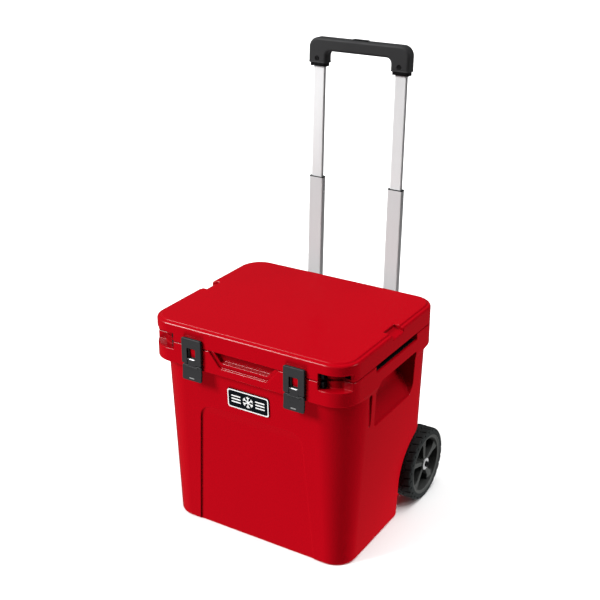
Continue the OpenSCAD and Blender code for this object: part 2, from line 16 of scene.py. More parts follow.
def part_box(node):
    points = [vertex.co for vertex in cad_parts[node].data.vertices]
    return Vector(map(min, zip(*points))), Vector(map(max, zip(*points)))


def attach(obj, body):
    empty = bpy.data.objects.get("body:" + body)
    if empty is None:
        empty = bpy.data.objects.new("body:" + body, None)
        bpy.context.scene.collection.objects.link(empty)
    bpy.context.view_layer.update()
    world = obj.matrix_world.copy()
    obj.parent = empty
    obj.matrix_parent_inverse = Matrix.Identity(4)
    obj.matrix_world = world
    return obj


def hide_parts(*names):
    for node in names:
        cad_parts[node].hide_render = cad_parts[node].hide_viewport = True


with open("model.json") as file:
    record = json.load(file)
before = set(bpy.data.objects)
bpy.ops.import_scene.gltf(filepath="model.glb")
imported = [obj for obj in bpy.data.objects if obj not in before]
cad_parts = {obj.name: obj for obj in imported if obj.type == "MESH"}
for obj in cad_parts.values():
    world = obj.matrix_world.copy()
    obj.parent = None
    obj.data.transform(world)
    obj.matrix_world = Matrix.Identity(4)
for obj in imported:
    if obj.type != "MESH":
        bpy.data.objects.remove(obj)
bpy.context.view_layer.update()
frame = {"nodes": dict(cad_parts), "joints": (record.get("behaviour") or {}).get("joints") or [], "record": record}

MM = 0.001
COARSE = 1.0
SIDES = {"left": -1, "right": 1}
record = frame["record"]
joints = {joint["name"]: joint for joint in frame["joints"]}
slot_of = {part["node"]: part["material_slot"] for part in record["subparts"]}


def box_mm(*nodes):
    """Lowest and highest corner of some CAD nodes together, in millimetres."""
    boxes = [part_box(node) for node in nodes]
    low = [min(b[0][i] for b in boxes) / MM for i in range(3)]
    high = [max(b[1][i] for b in boxes) / MM for i in range(3)]
    return low, high


# ---------- distance fields ----------


def rounded(p, q, half_p, half_q, r):
    """Distance to a rectangle with half sizes half_p and half_q and corner radius r."""
    a = np.abs(p) - half_p + r
    b = np.abs(q) - half_q + r
    return np.hypot(np.maximum(a, 0), np.maximum(b, 0)) + np.minimum(np.maximum(a, b), 0) - r


def both(a, b, r=0.0):
    """What lies in a and in b, with the edge between them rounded to radius r."""
    edge = np.hypot(np.maximum(a + r, 0), np.maximum(b + r, 0))
    return np.minimum(np.maximum(a, b), -r) + edge


def either(a, b, r=0.0):
    """a and b together, with a fillet of radius r between them."""
    return -both(-a, -b, r)


def without(a, b, r=0.0):
    """a with b cut out of it, with the edge of the cut rounded to radius r."""
    return both(a, -b, r)


def between(p, low, high):
    """Distance to the span from low to high."""
    return np.maximum(low - p, p - high)


def convex(p, q, corners, r=0.0):
    """Distance to a convex outline whose corners run anticlockwise."""
    shape = None
    for (p0, q0), (p1, q1) in zip(corners, corners[1:] + corners[:1]):
        length = math.hypot(p1 - p0, q1 - q0)
        side = ((p - p0) * (q1 - q0) - (q - q0) * (p1 - p0)) / length
        shape = side if shape is None else both(shape, side, r)
    return shape


def flared(p, q, half_low, low, half_high, high, r):
    """Distance to an outline with level ends that widens or narrows upwards."""
    corners = [(-half_low, low), (half_low, low), (half_high, high), (-half_high, high)]
    return convex(p, q, corners, r)


def past(p, q, start_p, start_q, facing_p, facing_q):
    """Distance past the line through a start point that faces a direction."""
    rise = (p - start_p) * facing_p + (q - start_q) * facing_q
    return rise / math.hypot(facing_p, facing_q)


def smooth(t):
    """Eases from 0 to 1 as t does."""
    t = np.clip(t, 0, 1)
    return t * t * (3 - 2 * t)


# ---------- meshes ----------


def slope(field, p):
    """Value and direction of steepest rise of field at each point of p."""
    h = 0.04
    value = field(p[:, 0], p[:, 1], p[:, 2])
    rise = np.empty_like(p)
    for axis in range(3):
        shifted = p.copy()
        shifted[:, axis] += h
        ahead = field(shifted[:, 0], shifted[:, 1], shifted[:, 2])
        shifted[:, axis] -= 2 * h
        rise[:, axis] = (ahead - field(shifted[:, 0], shifted[:, 1], shifted[:, 2])) / (2 * h)
    size = np.maximum(np.linalg.norm(rise, axis=1), 0.2)
    return value / size, rise / size[:, None]


def sculpt(name, field, low, high, step, mirror=False, place=None):
    """Mesh of the surface where field(x, y, z) is zero; mirror: its two sides of x = 0 are alike."""
    step *= COARSE
    band = 3 * step
    low = np.array(low, float) - 2 * step
    high = np.array(high, float) + 2 * step
    if mirror:
        low[0] = 0
    axes = [low[i] + step * np.arange(math.ceil((high[i] - low[i]) / step) + 1) for i in range(3)]
    axes = [a.astype(np.float32) for a in axes]
    shape = tuple(len(a) for a in axes)
    value = field(axes[0][:, None, None], axes[1][None, :, None], axes[2][None, None, :])
    value = np.clip(np.broadcast_to(value, shape), -band, band).astype(np.float32)
    if mirror:
        value = np.concatenate([value[:0:-1], value])
        low[0] = -step * (shape[0] - 1)
    grid = openvdb.FloatGrid(band)
    grid.copyFromArray(value)
    points, triangles, quads = grid.convertToPolygons(0.0, 0.0)
    p = low + step * points.astype(float)
    for _ in range(2):
        distance, normal = slope(field, p)
        p -= np.clip(distance, -step, step)[:, None] * normal
    normal = slope(field, p)[1]
    faces = quads.astype(int)
    a, b, c = (p[faces[:, i]] for i in range(3))
    facing = np.einsum("ij,ij->i", np.cross(b - a, c - a), normal[faces[:, 0]]).sum()
    if facing < 0:
        faces = faces[:, ::-1]
    mesh = bpy.data.meshes.new(name)
    mesh.from_pydata(p * MM, [], faces)
    mesh.polygons.foreach_set("use_smooth", [True] * len(mesh.polygons))
    mesh.normals_split_custom_set_from_vertices(normal)
    obj = bpy.data.objects.new(name, mesh)
    bpy.context.scene.collection.objects.link(obj)
    if place is not None:
        mesh.transform(place)
        if place.determinant() < 0:
            mesh.flip_normals()
    return obj


def middle_of(*nodes):
    """The middle of the box round some CAD nodes, in metres."""
    low, high = box_mm(*nodes)
    return Vector([(a + b) / 2 for a, b in zip(low, high)]) * MM


def span_x(low, high, side):
    """The same box on the right (side 1) or mirrored to the left (side -1)."""
    if side > 0:
        return low, high
    return (-high[0], *low[1:]), (-low[0], *high[1:])


def piece(obj, slot_name, body, *nodes, look=None):
    """Gives a visual piece its material, the body it rides on and the CAD nodes it stands for."""
    obj.data.materials.append(look or materials[slot_name])
    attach(obj, body)
    if nodes:
        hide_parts(*nodes)


# ---------- materials ----------


def base_material(name, color, roughness, metallic=0.0, specular=0.5):
    """A plain material, with the nodes, links and shader that patterns are added to."""
    material = bpy.data.materials.new(name)
    material.use_nodes = True
    shader = material.node_tree.nodes["Principled BSDF"]
    shader.inputs["Base Color"].default_value = (*color, 1)
    shader.inputs["Roughness"].default_value = roughness
    shader.inputs["Metallic"].default_value = metallic
    shader.inputs["Specular IOR Level"].default_value = specular
    return material, material.node_tree.nodes, material.node_tree.links, shader


def noise(nodes, links, scale, detail=2.0, stretch=(1, 1, 1)):
    """Noise over the object's own coordinates, whose features are about 1 / scale metres."""
    where = nodes.new("ShaderNodeTexCoord")
    mapping = nodes.new("ShaderNodeMapping")
    mapping.inputs["Scale"].default_value = stretch
    texture = nodes.new("ShaderNodeTexNoise")
    texture.inputs["Scale"].default_value = scale
    texture.inputs["Detail"].default_value = detail
    links.new(where.outputs["Object"], mapping.inputs["Vector"])
    links.new(mapping.outputs["Vector"], texture.inputs["Vector"])
    return texture.outputs["Fac"]


def spread(nodes, links, value, low, high):
    """Maps a noise value onto the range from low to high."""
    ranged = nodes.new("ShaderNodeMapRange")
    ranged.inputs["From Min"].default_value = 0.25
    ranged.inputs["From Max"].default_value = 0.75
    ranged.inputs["To Min"].default_value = low
    ranged.inputs["To Max"].default_value = high
    links.new(value, ranged.inputs["Value"])
    return ranged.outputs["Result"]


def map_range(nodes, links, value, from_min, from_max, to_min, to_max):
    """Maps one range smoothly onto another."""
    node = nodes.new("ShaderNodeMapRange")
    node.interpolation_type = "SMOOTHSTEP"
    ends = {"From Min": from_min, "From Max": from_max, "To Min": to_min, "To Max": to_max}
    for name, number in ends.items():
        node.inputs[name].default_value = number
    links.new(value, node.inputs["Value"])
    return node


def tint(nodes, links, value, color, low, high):
    """The colour made darker and lighter by a noise value."""
    blend = nodes.new("ShaderNodeMix")
    blend.data_type = "RGBA"
    blend.inputs["A"].default_value = (*[c * low for c in color], 1)
    blend.inputs["B"].default_value = (*[min(c * high, 1) for c in color], 1)
    links.new(value, blend.inputs["Factor"])
    return blend.outputs["Result"]


def add_bump(nodes, links, shader, height, depth, strength=1.0):
    """Relief of some depth in metres."""
    bump = nodes.new("ShaderNodeBump")
    bump.inputs["Distance"].default_value = depth
    bump.inputs["Strength"].default_value = strength
    links.new(height, bump.inputs["Height"])
    links.new(bump.outputs["Normal"], shader.inputs["Normal"])


def moulded(name, color, roughness, grain, depth, specular=0.5, variation=0.06, haze=0.06):
    """Moulded plastic: fine grain, a faint change of colour by variation and of gloss by haze."""
    material, nodes, links, shader = base_material(name, color, roughness, specular=specular)
    fine = noise(nodes, links, grain, 3.0)
    wide = noise(nodes, links, 9.0, 2.0)
    links.new(tint(nodes, links, wide, color, 1 - variation, 1 + variation), shader.inputs["Base Color"])
    patches = noise(nodes, links, 40.0, 4.0)
    links.new(spread(nodes, links, patches, roughness - haze, roughness + haze), shader.inputs["Roughness"])
    add_bump(nodes, links, shader, fine, depth)
    return material


def metal(name, color, roughness, stretch, metallic):
    """Brushed metal whose fine lines run along the axis with the small stretch."""
    material, nodes, links, shader = base_material(name, color, roughness, metallic)
    streaks = noise(nodes, links, 1500.0, 2.0, stretch)
    links.new(spread(nodes, links, streaks, roughness - 0.06, roughness + 0.1), shader.inputs["Roughness"])
    links.new(tint(nodes, links, streaks, color, 0.94, 1.04), shader.inputs["Base Color"])
    add_bump(nodes, links, shader, streaks, 0.00003, 0.6)
    return material


def tube_with_painted_side_shade(name, color):
    """Brushed tube with painted shade: its narrow side walls are painted darker than its broad faces, by how far
    the surface turns sideways.
    """
    material = metal(name, color, 0.36, ALONG_Z, 0.1)
    nodes, links = material.node_tree.nodes, material.node_tree.links
    base = nodes["Principled BSDF"].inputs["Base Color"]
    where = nodes.new("ShaderNodeTexCoord")
    split = nodes.new("ShaderNodeSeparateXYZ")
    sideways = nodes.new("ShaderNodeMath")
    sideways.operation = "ABSOLUTE"
    side_shade = nodes.new("ShaderNodeMix")
    side_shade.data_type = "RGBA"
    side_shade.blend_type = "MULTIPLY"
    side_shade.inputs["Factor"].default_value = 1.0
    links.new(where.outputs["Normal"], split.inputs["Vector"])
    links.new(split.outputs["X"], sideways.inputs[0])
    # Painted shade: the colour is multiplied down from 1 to 0.3 as the object-space normal turns towards x.
    level = map_range(nodes, links, sideways.outputs["Value"], 0.35, 0.95, 1.0, 0.3)
    links.new(base.links[0].from_socket, side_shade.inputs["A"])
    links.new(level.outputs["Result"], side_shade.inputs["B"])
    links.new(side_shade.outputs["Result"], base)
    return material


ALONG_Z = (1, 1, 0.01)
ALONG_X = (0.01, 1, 1)
RED = (0.176, 0.00014, 0.0024)

# name, colour, roughness, grain per metre, grain depth in metres, specular
materials = {
    "red_moulding": moulded("red_moulding", RED, 0.25, 700.0, 0.000012, 0.13, variation=0.03, haze=0.0),
    "foam": moulded("foam", (0.29, 0.25, 0.15), 0.9, 350.0, 0.0006, 0.15),
    "black_plastic": moulded("black_plastic", (0.0035, 0.0035, 0.0038), 0.5, 900.0, 0.00006, 0.10),
    "latch_plastic": moulded("latch_plastic", (0.0135, 0.0134, 0.014), 0.42, 1200.0, 0.00008, 0.15),
    "grip_plastic": moulded("grip_plastic", (0.0135, 0.0135, 0.014), 0.6, 1100.0, 0.00012, 0.12),
    "badge_black": moulded("badge_black", (0.0018, 0.0024, 0.0034), 0.35, 900.0, 0.00002, 0.05),
    "rubber": moulded("rubber", (0.005, 0.005, 0.005), 0.8, 600.0, 0.0001, 0.15),
    "tyre": moulded("tyre", (0.0090, 0.0098, 0.0098), 0.6, 500.0, 0.00015, 0.15),
    "rim_plastic": moulded("rim_plastic", (0.0250, 0.0258, 0.025), 0.4, 900.0, 0.00008, 0.2),
    "bush_plastic": moulded("bush_plastic", (0.26, 0.26, 0.255), 0.5, 800.0, 0.00005, 0.15),
    "steel": metal("steel", (0.34, 0.34, 0.345), 0.30, ALONG_X, 0.5),
    "tube_aluminium": tube_with_painted_side_shade("tube_aluminium", (0.375, 0.377, 0.38)),
}
white_print = moulded("white_print", (0.38, 0.38, 0.376), 0.45, 900.0, 0.00002, 0.1)
grey_print = moulded("grey_print", (0.12, 0.12, 0.12), 0.45, 900.0, 0.00002, 0.1)
bright_aluminium = tube_with_painted_side_shade("bright_aluminium", (0.45, 0.452, 0.455))
# Near-black steel for the grip screws: painted shade of the recesses they sit in.
screw_shade_steel = metal("screw_shade_steel", (0.004, 0.004, 0.0042), 0.35, ALONG_X, 0.5)
blued_steel = metal("blued_steel", (0.11, 0.11, 0.113), 0.4, ALONG_X, 0.3)

# CAD nodes that look different from the rest of their slot
special_looks = {
    "upper_tube_left": bright_aluminium,
    "upper_tube_right": bright_aluminium,
    "grip_screws": screw_shade_steel,
    "frame_pin_left": blued_steel,
    "frame_pin_right": blued_steel,
}


# ---------- chest and lid ----------

# Lid, rim and tub
lid_low, lid_high = box_mm("lid_shell")
LID_HW = lid_high[0]
LID_HD = -lid_low[1]
LID_TOP = lid_high[2]
LID_R = 52.0
PLUG_Z = lid_low[2]
RIM_Z = 447.5
LID_Z = RIM_Z + 1
TUB_FLOOR = 60.0
TUB_LOW = (168.0, 134.0)
TUB_TOP = (186.0, 150.0)
TUB_R = 38.0
PLUG_GAP = 4.0

# Tapered body, from its base up to the collar under the rim
COLLAR_Z = 400.0
UNDER_Z = 388.0
BASE_HW, TOP_HW = 222.0, 240.0
BASE_FRONT, TOP_FRONT = 168.0, 186.0
BASE_BACK, TOP_BACK = 189.3, 202.0
BASE_R, TOP_R = 50.0, 79.0

# Hinge
HINGE_Y, HINGE_Z = (joints["lid_hinge"]["pos_m"][i] / MM for i in (1, 2))
HINGE_X = 150.0
KNUCKLE_R = 8.6
KNUCKLE_HW = 16.0
LID_KNUCKLE_IN, LID_KNUCKLE_OUT = 16.4, 44.4
WEB_BACK, WEB_LOW = 196.0, 432.0
CLEAR_LOW, CLEAR_TOP, CLEAR_Y = 440.0, 469.0, 193.5

# Cuts in the body run on past its rim to here, and cuts in the lid start from below it
ABOVE_RIM, BELOW_RIM = 470.0, 400.0

# Finger dip and front panel: half width and height of the lower end, then of the upper end
DIP_EDGE = (57.5, 415.0, 85.0, 449.0)
DIP_INNER = (57.0, 426.0, 75.5, 449.0)
DIP_LEDGE, DIP_DEPTH = 4.5, 15.0
PANEL_EDGE = (149.5, -30.0, 124.0, 304.0)
PANEL_R, PANEL_DEPTH = 26.0, 4.2
PANEL_FADE_TOP, PANEL_FADE = 312.0, 30.0

# Corner recesses, with a deeper gap where the lid meets the rim
RECESS_X, RECESS_Y = 175.0, -171.0
RECESS_LOW, RECESS_TOP = 430.0, 466.0
RECESS_DEPTH, GAP_DEPTH = 19.5, 24.5
GAP_Z, GAP_HALF = RIM_Z + 0.5, 2.2
# Length and inset of the black blocks that paint the shade at the inner end of each recess
SHADE_BLOCK_LENGTH, SHADE_BLOCK_INSET = 10.0, 7.0

# Wheel wells
AXLE_Y, AXLE_Z = (joints["wheel_right_spin"]["pos_m"][i] / MM for i in (1, 2))
WELL_R, WELL_X = 110.0, 188.0

# Side pockets, each with a carrying bar and a slot above it, and the groove in front of them
POCKET_X, POCKET_MOUTH_X = 198.0, 233.8
POCKET_FRONT, POCKET_BACK = -77.0, 99.0
POCKET_LOW, POCKET_KNEE = 306.0, 352.0
BAR_X, BAR_LOW, BAR_TOP = 214.0, 405.0, 433.0
GUSSET_LOW, GUSSET_SLOPE = 387.0, 1.06
SLOT_FRONT, SLOT_BACK = -84.0, 98.0
GROOVE_Y, GROOVE_Z, GROOVE_HALF = -101.0, 352.5, 31.5
GROOVE_R, GROOVE_X = 6.0, 234.0

# Strap notch in each side of the lid
NOTCH_X, NOTCH_FLOOR = 219.0, 484.0
NOTCH_Y, NOTCH_HALF = 8.5, 24.0


def mixed(low, high, t):
    """The value a share t of the way from low to high."""
    return low + (high - low) * t


def wall_outline(x, y, z):
    """The tapered body's outline at height z."""
    t = z / COLLAR_Z
    front = mixed(BASE_FRONT, TOP_FRONT, t)
    back = mixed(BASE_BACK, TOP_BACK, t)
    half_width = mixed(BASE_HW, TOP_HW, t)
    return rounded(x, y - (back - front) / 2, half_width, (back + front) / 2, mixed(BASE_R, TOP_R, t))


def collar_outline(x, y, inset=0.0):
    """The outline that the collar, the rim and the lid share."""
    return rounded(x, y, LID_HW - inset, LID_HD - inset, LID_R - inset)


def tub(x, y, z):
    """The tapered space inside the chest."""
    t = (z - TUB_FLOOR) / (RIM_Z - TUB_FLOOR)
    sides = rounded(x, y, mixed(TUB_LOW[0], TUB_TOP[0], t), mixed(TUB_LOW[1], TUB_TOP[1], t), TUB_R)
    return both(sides, TUB_FLOOR - z, 18.0)


def corner_recess(x, y, z, low, high):
    """A cut round the front corner."""
    span = both(RECESS_X - x, y - RECESS_Y, 1.0)
    span = both(span, between(z, low, high), 1.0)
    deep = both(span, -collar_outline(x, y, RECESS_DEPTH), 3.0)
    gap = both(both(span, np.abs(z - GAP_Z) - GAP_HALF), -collar_outline(x, y, GAP_DEPTH))
    return either(deep, gap)


def painted_recess_shade(x, y, z, low, high):
    """Black block that fills the inner end of a corner recess: painted shade where that end lies dark."""
    x = np.abs(x)
    span = both(RECESS_X - 0.5 - x, x - RECESS_X - SHADE_BLOCK_LENGTH, 1.0)
    span = both(span, between(z, low, high), 0.8)
    span = both(span, collar_outline(x, y, SHADE_BLOCK_INSET), 1.0)
    return both(span, -collar_outline(x, y, RECESS_DEPTH + 1.0))


def finger_dip(x, y, z):
    """A dip in two steps, a shallow one all round and a deep one inside it."""
    depth = y + LID_HD
    ledge = both(flared(x, z, *DIP_EDGE, 3.0), depth - DIP_LEDGE, 1.5)
    inner = flared(x, z, *DIP_INNER, 3.0)
    return both(either(ledge, inner, 2.0), depth - DIP_DEPTH, 2.0)


def side_pocket(x, y, z):
    """A wedge that deepens upwards, behind a carrying bar with a slot above it."""
    corners = [
        (POCKET_FRONT, POCKET_LOW), (POCKET_BACK - 15, POCKET_LOW), (POCKET_BACK, POCKET_LOW + 18),
        (POCKET_BACK, ABOVE_RIM), (POCKET_FRONT, ABOVE_RIM),
    ]
    window = convex(y, z, corners, 6.0)
    floor = past(x, z, POCKET_X, POCKET_KNEE, POCKET_LOW - POCKET_KNEE, POCKET_X - POCKET_MOUTH_X)
    space = both(window, both(POCKET_X - x, floor, 8.0), 2.5)
    gusset = past(y, z, POCKET_FRONT, GUSSET_LOW, -GUSSET_SLOPE, 1.0)
    under = either(BAR_LOW - z, -gusset, 5.0)
    bar = both(both(under, z - BAR_TOP, 2.0), BAR_X - x, 3.0)
    slot = both(between(z, BAR_TOP, ABOVE_RIM), between(y, SLOT_FRONT, SLOT_BACK), 2.0)
    slot = both(slot, POCKET_X - x, 2.0)
    return either(without(space, bar, 2.0), slot)


def slot_painted_shade(x, y, z):
    """Black sheets in the slot above each carrying bar, on the bar's top and the wall behind it: painted shade
    where the deep slot lies dark.
    """
    x = np.abs(x)
    pad = both(between(x, BAR_X + 1.0, LID_HW - 5.0), between(z, BAR_TOP - 2.0, BAR_TOP + 1.2))
    back = both(between(x, POCKET_X - 1.5, POCKET_X + 1.2), between(z, BAR_TOP - 28.0, RIM_Z - 2.0))
    return both(either(pad, back), between(y, SLOT_FRONT + 0.6, SLOT_BACK - 0.6), 0.8)


def side_groove(x, y, z):
    """An upright groove with round ends."""
    along = np.maximum(np.abs(z - GROOVE_Z) - GROOVE_HALF, 0)
    return both(np.hypot(y - GROOVE_Y, along) - GROOVE_R, GROOVE_X - x, 2.5)


def wheel_well(x, y, z):
    """A round cut over the wheel that runs straight down to the base."""
    above = np.hypot(y - AXLE_Y, z - AXLE_Z)
    round_part = np.where(z < AXLE_Z, np.abs(y - AXLE_Y), above) - WELL_R
    return both(round_part, WELL_X - x, 4.0)


def front_panel(x, y, z):
    """A shallow field in the front that fades out towards its top."""
    wall = mixed(BASE_FRONT, TOP_FRONT, z / COLLAR_Z)
    depth = PANEL_DEPTH * smooth((PANEL_FADE_TOP - z) / PANEL_FADE)
    return both(flared(x, z, *PANEL_EDGE, PANEL_R), y + wall - depth, 1.2)


def knuckles(x, y, z, near, far):
    """Hinge barrels over a span to each side of the hinge's middle."""
    along = between(np.abs(x - HINGE_X), near, far)
    barrel = np.hypot(y - HINGE_Y, z - HINGE_Z) - KNUCKLE_R
    return both(barrel, along, 0.8)


def hinge_web(x, y, z):
    """What joins the body's knuckle to its back wall."""
    web = both(between(y, WEB_BACK, HINGE_Y + KNUCKLE_R), between(z, WEB_LOW, HINGE_Z), 1.0)
    web = both(web, past(y, z, WEB_BACK + 8, WEB_LOW + 6, 0.8, -0.6), 1.0)
    return both(web, np.abs(x - HINGE_X) - KNUCKLE_HW, 0.8)


def body_field(x, y, z):
    """The chest's shell, on its right side."""
    x = np.abs(x)
    wall = wall_outline(x, y, z)
    shape = mixed(wall, collar_outline(x, y), smooth((z - UNDER_Z) / (COLLAR_Z - UNDER_Z)))
    shape = both(shape, -z, 7.0)
    shape = both(shape, z - RIM_Z, 2.6)
    shape = without(shape, tub(x, y, z), 3.0)
    shape = without(shape, finger_dip(x, y, z), 2.2)
    shape = without(shape, side_pocket(x, y, z), 1.6)
    shape = without(shape, corner_recess(x, y, z, RECESS_LOW, ABOVE_RIM), 1.6)
    shape = without(shape, side_groove(x, y, z), 1.6)
    shape = without(shape, front_panel(x, y, z), 1.6)
    shape = without(shape, wheel_well(x, y, z), 3.0)
    hinge = either(knuckles(x, y, z, -1.0, KNUCKLE_HW), hinge_web(x, y, z))
    return either(shape, hinge, 1.0)


def strap_notch(x, y, z):
    """A notch in the lid's side whose floor slopes outwards."""
    floor = past(x, z, NOTCH_X, NOTCH_FLOOR, -7.0, -22.5)
    return both(np.maximum(NOTCH_X - x, floor), np.abs(y - NOTCH_Y) - NOTCH_HALF, 2.0)


def lid_field(x, y, z):
    """The lid: a slab with a raised panel, and the plug underneath."""
    x = np.abs(x)
    slab = both(collar_outline(x, y), z - (LID_TOP - 2.8), 5.5)
    panel = both(collar_outline(x, y, 9.0), z - LID_TOP, 2.2)
    panel = both(panel, LID_Z - z)
    shape = either(slab, panel, 2.5)
    shape = both(shape, LID_Z - z, 2.4)
    plug = rounded(x, y, TUB_TOP[0] - PLUG_GAP, TUB_TOP[1] - PLUG_GAP, TUB_R)
    plug = both(both(plug, PLUG_Z - z, 4.0), z - LID_TOP + 10)
    shape = either(shape, plug, 1.0)
    shape = without(shape, corner_recess(x, y, z, BELOW_RIM, RECESS_TOP), 1.6)
    shape = without(shape, strap_notch(x, y, z), 2.0)
    space = both(between(z, CLEAR_LOW, CLEAR_TOP), CLEAR_Y - y, 1.0)
    space = both(space, np.abs(x - HINGE_X) - LID_KNUCKLE_IN)
    shape = without(shape, space, 0.8)
    hinge = knuckles(x, y, z, LID_KNUCKLE_IN, LID_KNUCKLE_OUT)
    return either(shape, hinge, 2.0)


def make_painted_recess_shades(part, body, low, high):
    """The black blocks of painted shade at the inner ends of both corner recesses, as far as they lie in the lid
    or in the chest.
    """
    for name, side in SIDES.items():
        box = span_x((RECESS_X - 2, -190, low), (RECESS_X + 12, -165, high), side)
        field = partial(painted_recess_shade, low=low, high=high)
        ends = sculpt(f"painted_recess_shade_{part}_{name}", field, *box, 0.8)
        piece(ends, "black_plastic", body)


def make_slot_painted_shades():
    for name, side in SIDES.items():
        box = span_x((POCKET_X - 2, -84, BAR_TOP - 29), (LID_HW - 4, 98, RIM_Z - 1), side)
        # Painted shade: a black sheet fills each slot above a carrying bar, where it is only dark.
        painted_shade = sculpt(f"slot_painted_shade_{name}", slot_painted_shade, *box, 0.8)
        piece(painted_shade, "black_plastic", "chest")


def make_chest():
    low, high = box_mm("body_shell")
    body = sculpt("chest_shell", body_field, low, high, 1.75, mirror=True)
    piece(body, "red_moulding", "chest", "body_shell")
    make_painted_recess_shades("lower", "chest", RECESS_LOW, RIM_Z - 2.0)
    make_painted_recess_shades("upper", "lid", LID_Z + 2.0, RECESS_TOP)
    make_slot_painted_shades()
    lid = sculpt("lid_cover", lid_field, lid_low, lid_high, 1.6, mirror=True)
    piece(lid, "red_moulding", "lid", "lid_shell")
    lid.visible_glossy = False


# ---------- latches ----------

LATCH_HW = 24.5
WINDOW_HW, WINDOW_TOP = 10.8, 26.0
TONGUE_HW = 10.2
MARK_Z = -41.5


def latch_frame_field(x, y, z):
    """Local to the lever's pivot: the plate with its window, and the bar behind its top."""
    plate = rounded(x, z - 18.5, LATCH_HW, 29.0, 3.5)
    plate = both(plate, between(y, -3.4, 2.4), 1.2)
    window = both(np.abs(x) - WINDOW_HW, z - WINDOW_TOP, 1.5)
    shape = without(plate, window, 1.0)
    lip = rounded(x, z - 40.7, LATCH_HW - 3.0, 6.3, 1.5)
    lip = both(lip, between(y, 1.0, 3.6), 0.6)
    return either(shape, lip, 0.5)


def latch_lever_field(x, y, z):
    """Local to the lever's pivot: a curved paddle and the tongue up to its pin."""
    x = np.abs(x)
    curl = 1.6 * smooth((-28.0 - z) / 20.0)
    sheet = np.abs(y + 0.1 + curl) - 2.2
    paddle = both(rounded(x, z + 30.1, LATCH_HW, 17.4, 4.0), sheet, 1.2)
    section = np.maximum(np.abs(y - 0.3) - 2.4, between(z, -20.0, -1.3))
    tongue = both(x - TONGUE_HW, section, 0.4)
    eye = both(both(np.hypot(y, z) - 3.0, 0.6 - y), x - TONGUE_HW, 0.4)
    shape = either(paddle, either(tongue, eye))
    rib = both(rounded(x, z + 16.5, 15.0, 1.0, 0.9), between(y, -3.6, 0.0), 0.4)
    return either(shape, rib, 0.6)


def latch_mark_field(x, y, z):
    """A plain printed dash low on the lever."""
    dash = rounded(x, z - MARK_Z, 6.5, 1.2, 1.2)
    return both(dash, between(y, -4.15, -2.5), 0.2)


def make_latches():
    for name in SIDES:
        pivot = Matrix.Translation(Vector(joints[f"lever_{name}_turn"]["pos_m"]))
        box = (-25, -4, -11), (25, 4, 48)
        plate = sculpt(f"latch_frame_{name}_cover", latch_frame_field, *box, 0.6, place=pivot)
        piece(plate, "latch_plastic", f"frame_{name}", f"latch_frame_{name}")
        box = (-25, -5, -48), (25, 3, 3.5)
        lever = sculpt(f"latch_lever_{name}_cover", latch_lever_field, *box, 0.6, place=pivot)
        piece(lever, "latch_plastic", f"lever_{name}", f"latch_lever_{name}")
        box = (-8, -4.5, -43), (8, -2, -40)
        mark = sculpt(f"latch_mark_{name}", latch_mark_field, *box, 0.3, place=pivot)
        piece(mark, "bush_plastic", f"lever_{name}", look=grey_print)


# ---------- badge ----------

BADGE_HW, BADGE_HH, BADGE_R = 51.0, 22.0, 6.0
PRINT_HEIGHT = 0.45
BAR_ROWS = (-7.0, 0.0, 7.0)
DIAGONAL = 0.707


def snowflake(p, q):
    """Six plain arms with one pair of twigs each."""
    arms = []
    for arm in range(6):
        a = math.radians(60 * arm + 30)
        along = p * math.cos(a) + q * math.sin(a)
        across = np.abs(-p * math.sin(a) + q * math.cos(a))
        stem = rounded(along - 6.5, across, 7.0, 1.2, 1.0)
        up = (along - 8.0) * DIAGONAL + across * DIAGONAL
        aside = -(along - 8.0) * DIAGONAL + across * DIAGONAL
        twig = rounded(up - 2.6, aside, 3.2, 1.0, 0.9)
        arms.append(np.minimum(stem, twig))
    return reduce(np.minimum, arms)


def badge_print_field(x, y, z):
    """Local to the badge, x right, y up, z out: a border, and a snowflake between plain bars."""
    outer = rounded(x, y, BADGE_HW - 0.6, BADGE_HH - 0.6, BADGE_R - 0.5)
    inner = rounded(x, y, BADGE_HW - 3.1, BADGE_HH - 3.1, BADGE_R - 1.5)
    bars = [rounded(np.abs(x) - 29.5, y - row, 11.5, 1.5, 1.4) for row in BAR_ROWS]
    flat = reduce(np.minimum, [without(outer, inner), snowflake(x, y), *bars])
    return both(flat, between(z, -1.0, PRINT_HEIGHT), 0.25)


def badge_plate_field(x, y, z):
    """Local to the badge: its plain plate."""
    return both(rounded(x, y, BADGE_HW, BADGE_HH, BADGE_R), between(z, -2.4, 0.0), 0.5)


def make_badge():
    tilt = math.pi / 2 + math.atan2(TOP_FRONT - BASE_FRONT, COLLAR_Z)
    out = Matrix.Translation((0, 0, 1.2 * MM))
    place = Matrix.Translation(middle_of("badge")) @ Matrix.Rotation(tilt, 4, "X") @ out
    plate = sculpt("badge_plate", badge_plate_field, (-52, -23, -3), (52, 23, 0.5), 0.8, place=place)
    piece(plate, "badge_black", "chest", "badge")
    ink = sculpt("badge_print", badge_print_field, (-51, -22, -1.5), (51, 22, 0.6), 0.4, place=place)
    piece(ink, "bush_plastic", "chest", look=white_print)


# ---------- wheels ----------

TYRE_R, TYRE_HW = 85.0, 23.0
BEAD_R = 70.5
BLOCKS = 26
BLOCK_ANGLE = 2 * math.pi / BLOCKS
TREAD_HW, TREAD_FLOOR = 1.6, 82.4
HUB_R, HUB_BORE = 14.8, 10.0
SPOKES = 5


def repeated(turn, shift):
    """The angle from the middle of the nearest tread block."""
    return (np.mod(turn / BLOCK_ANGLE + shift, 1.0) - 0.5) * BLOCK_ANGLE


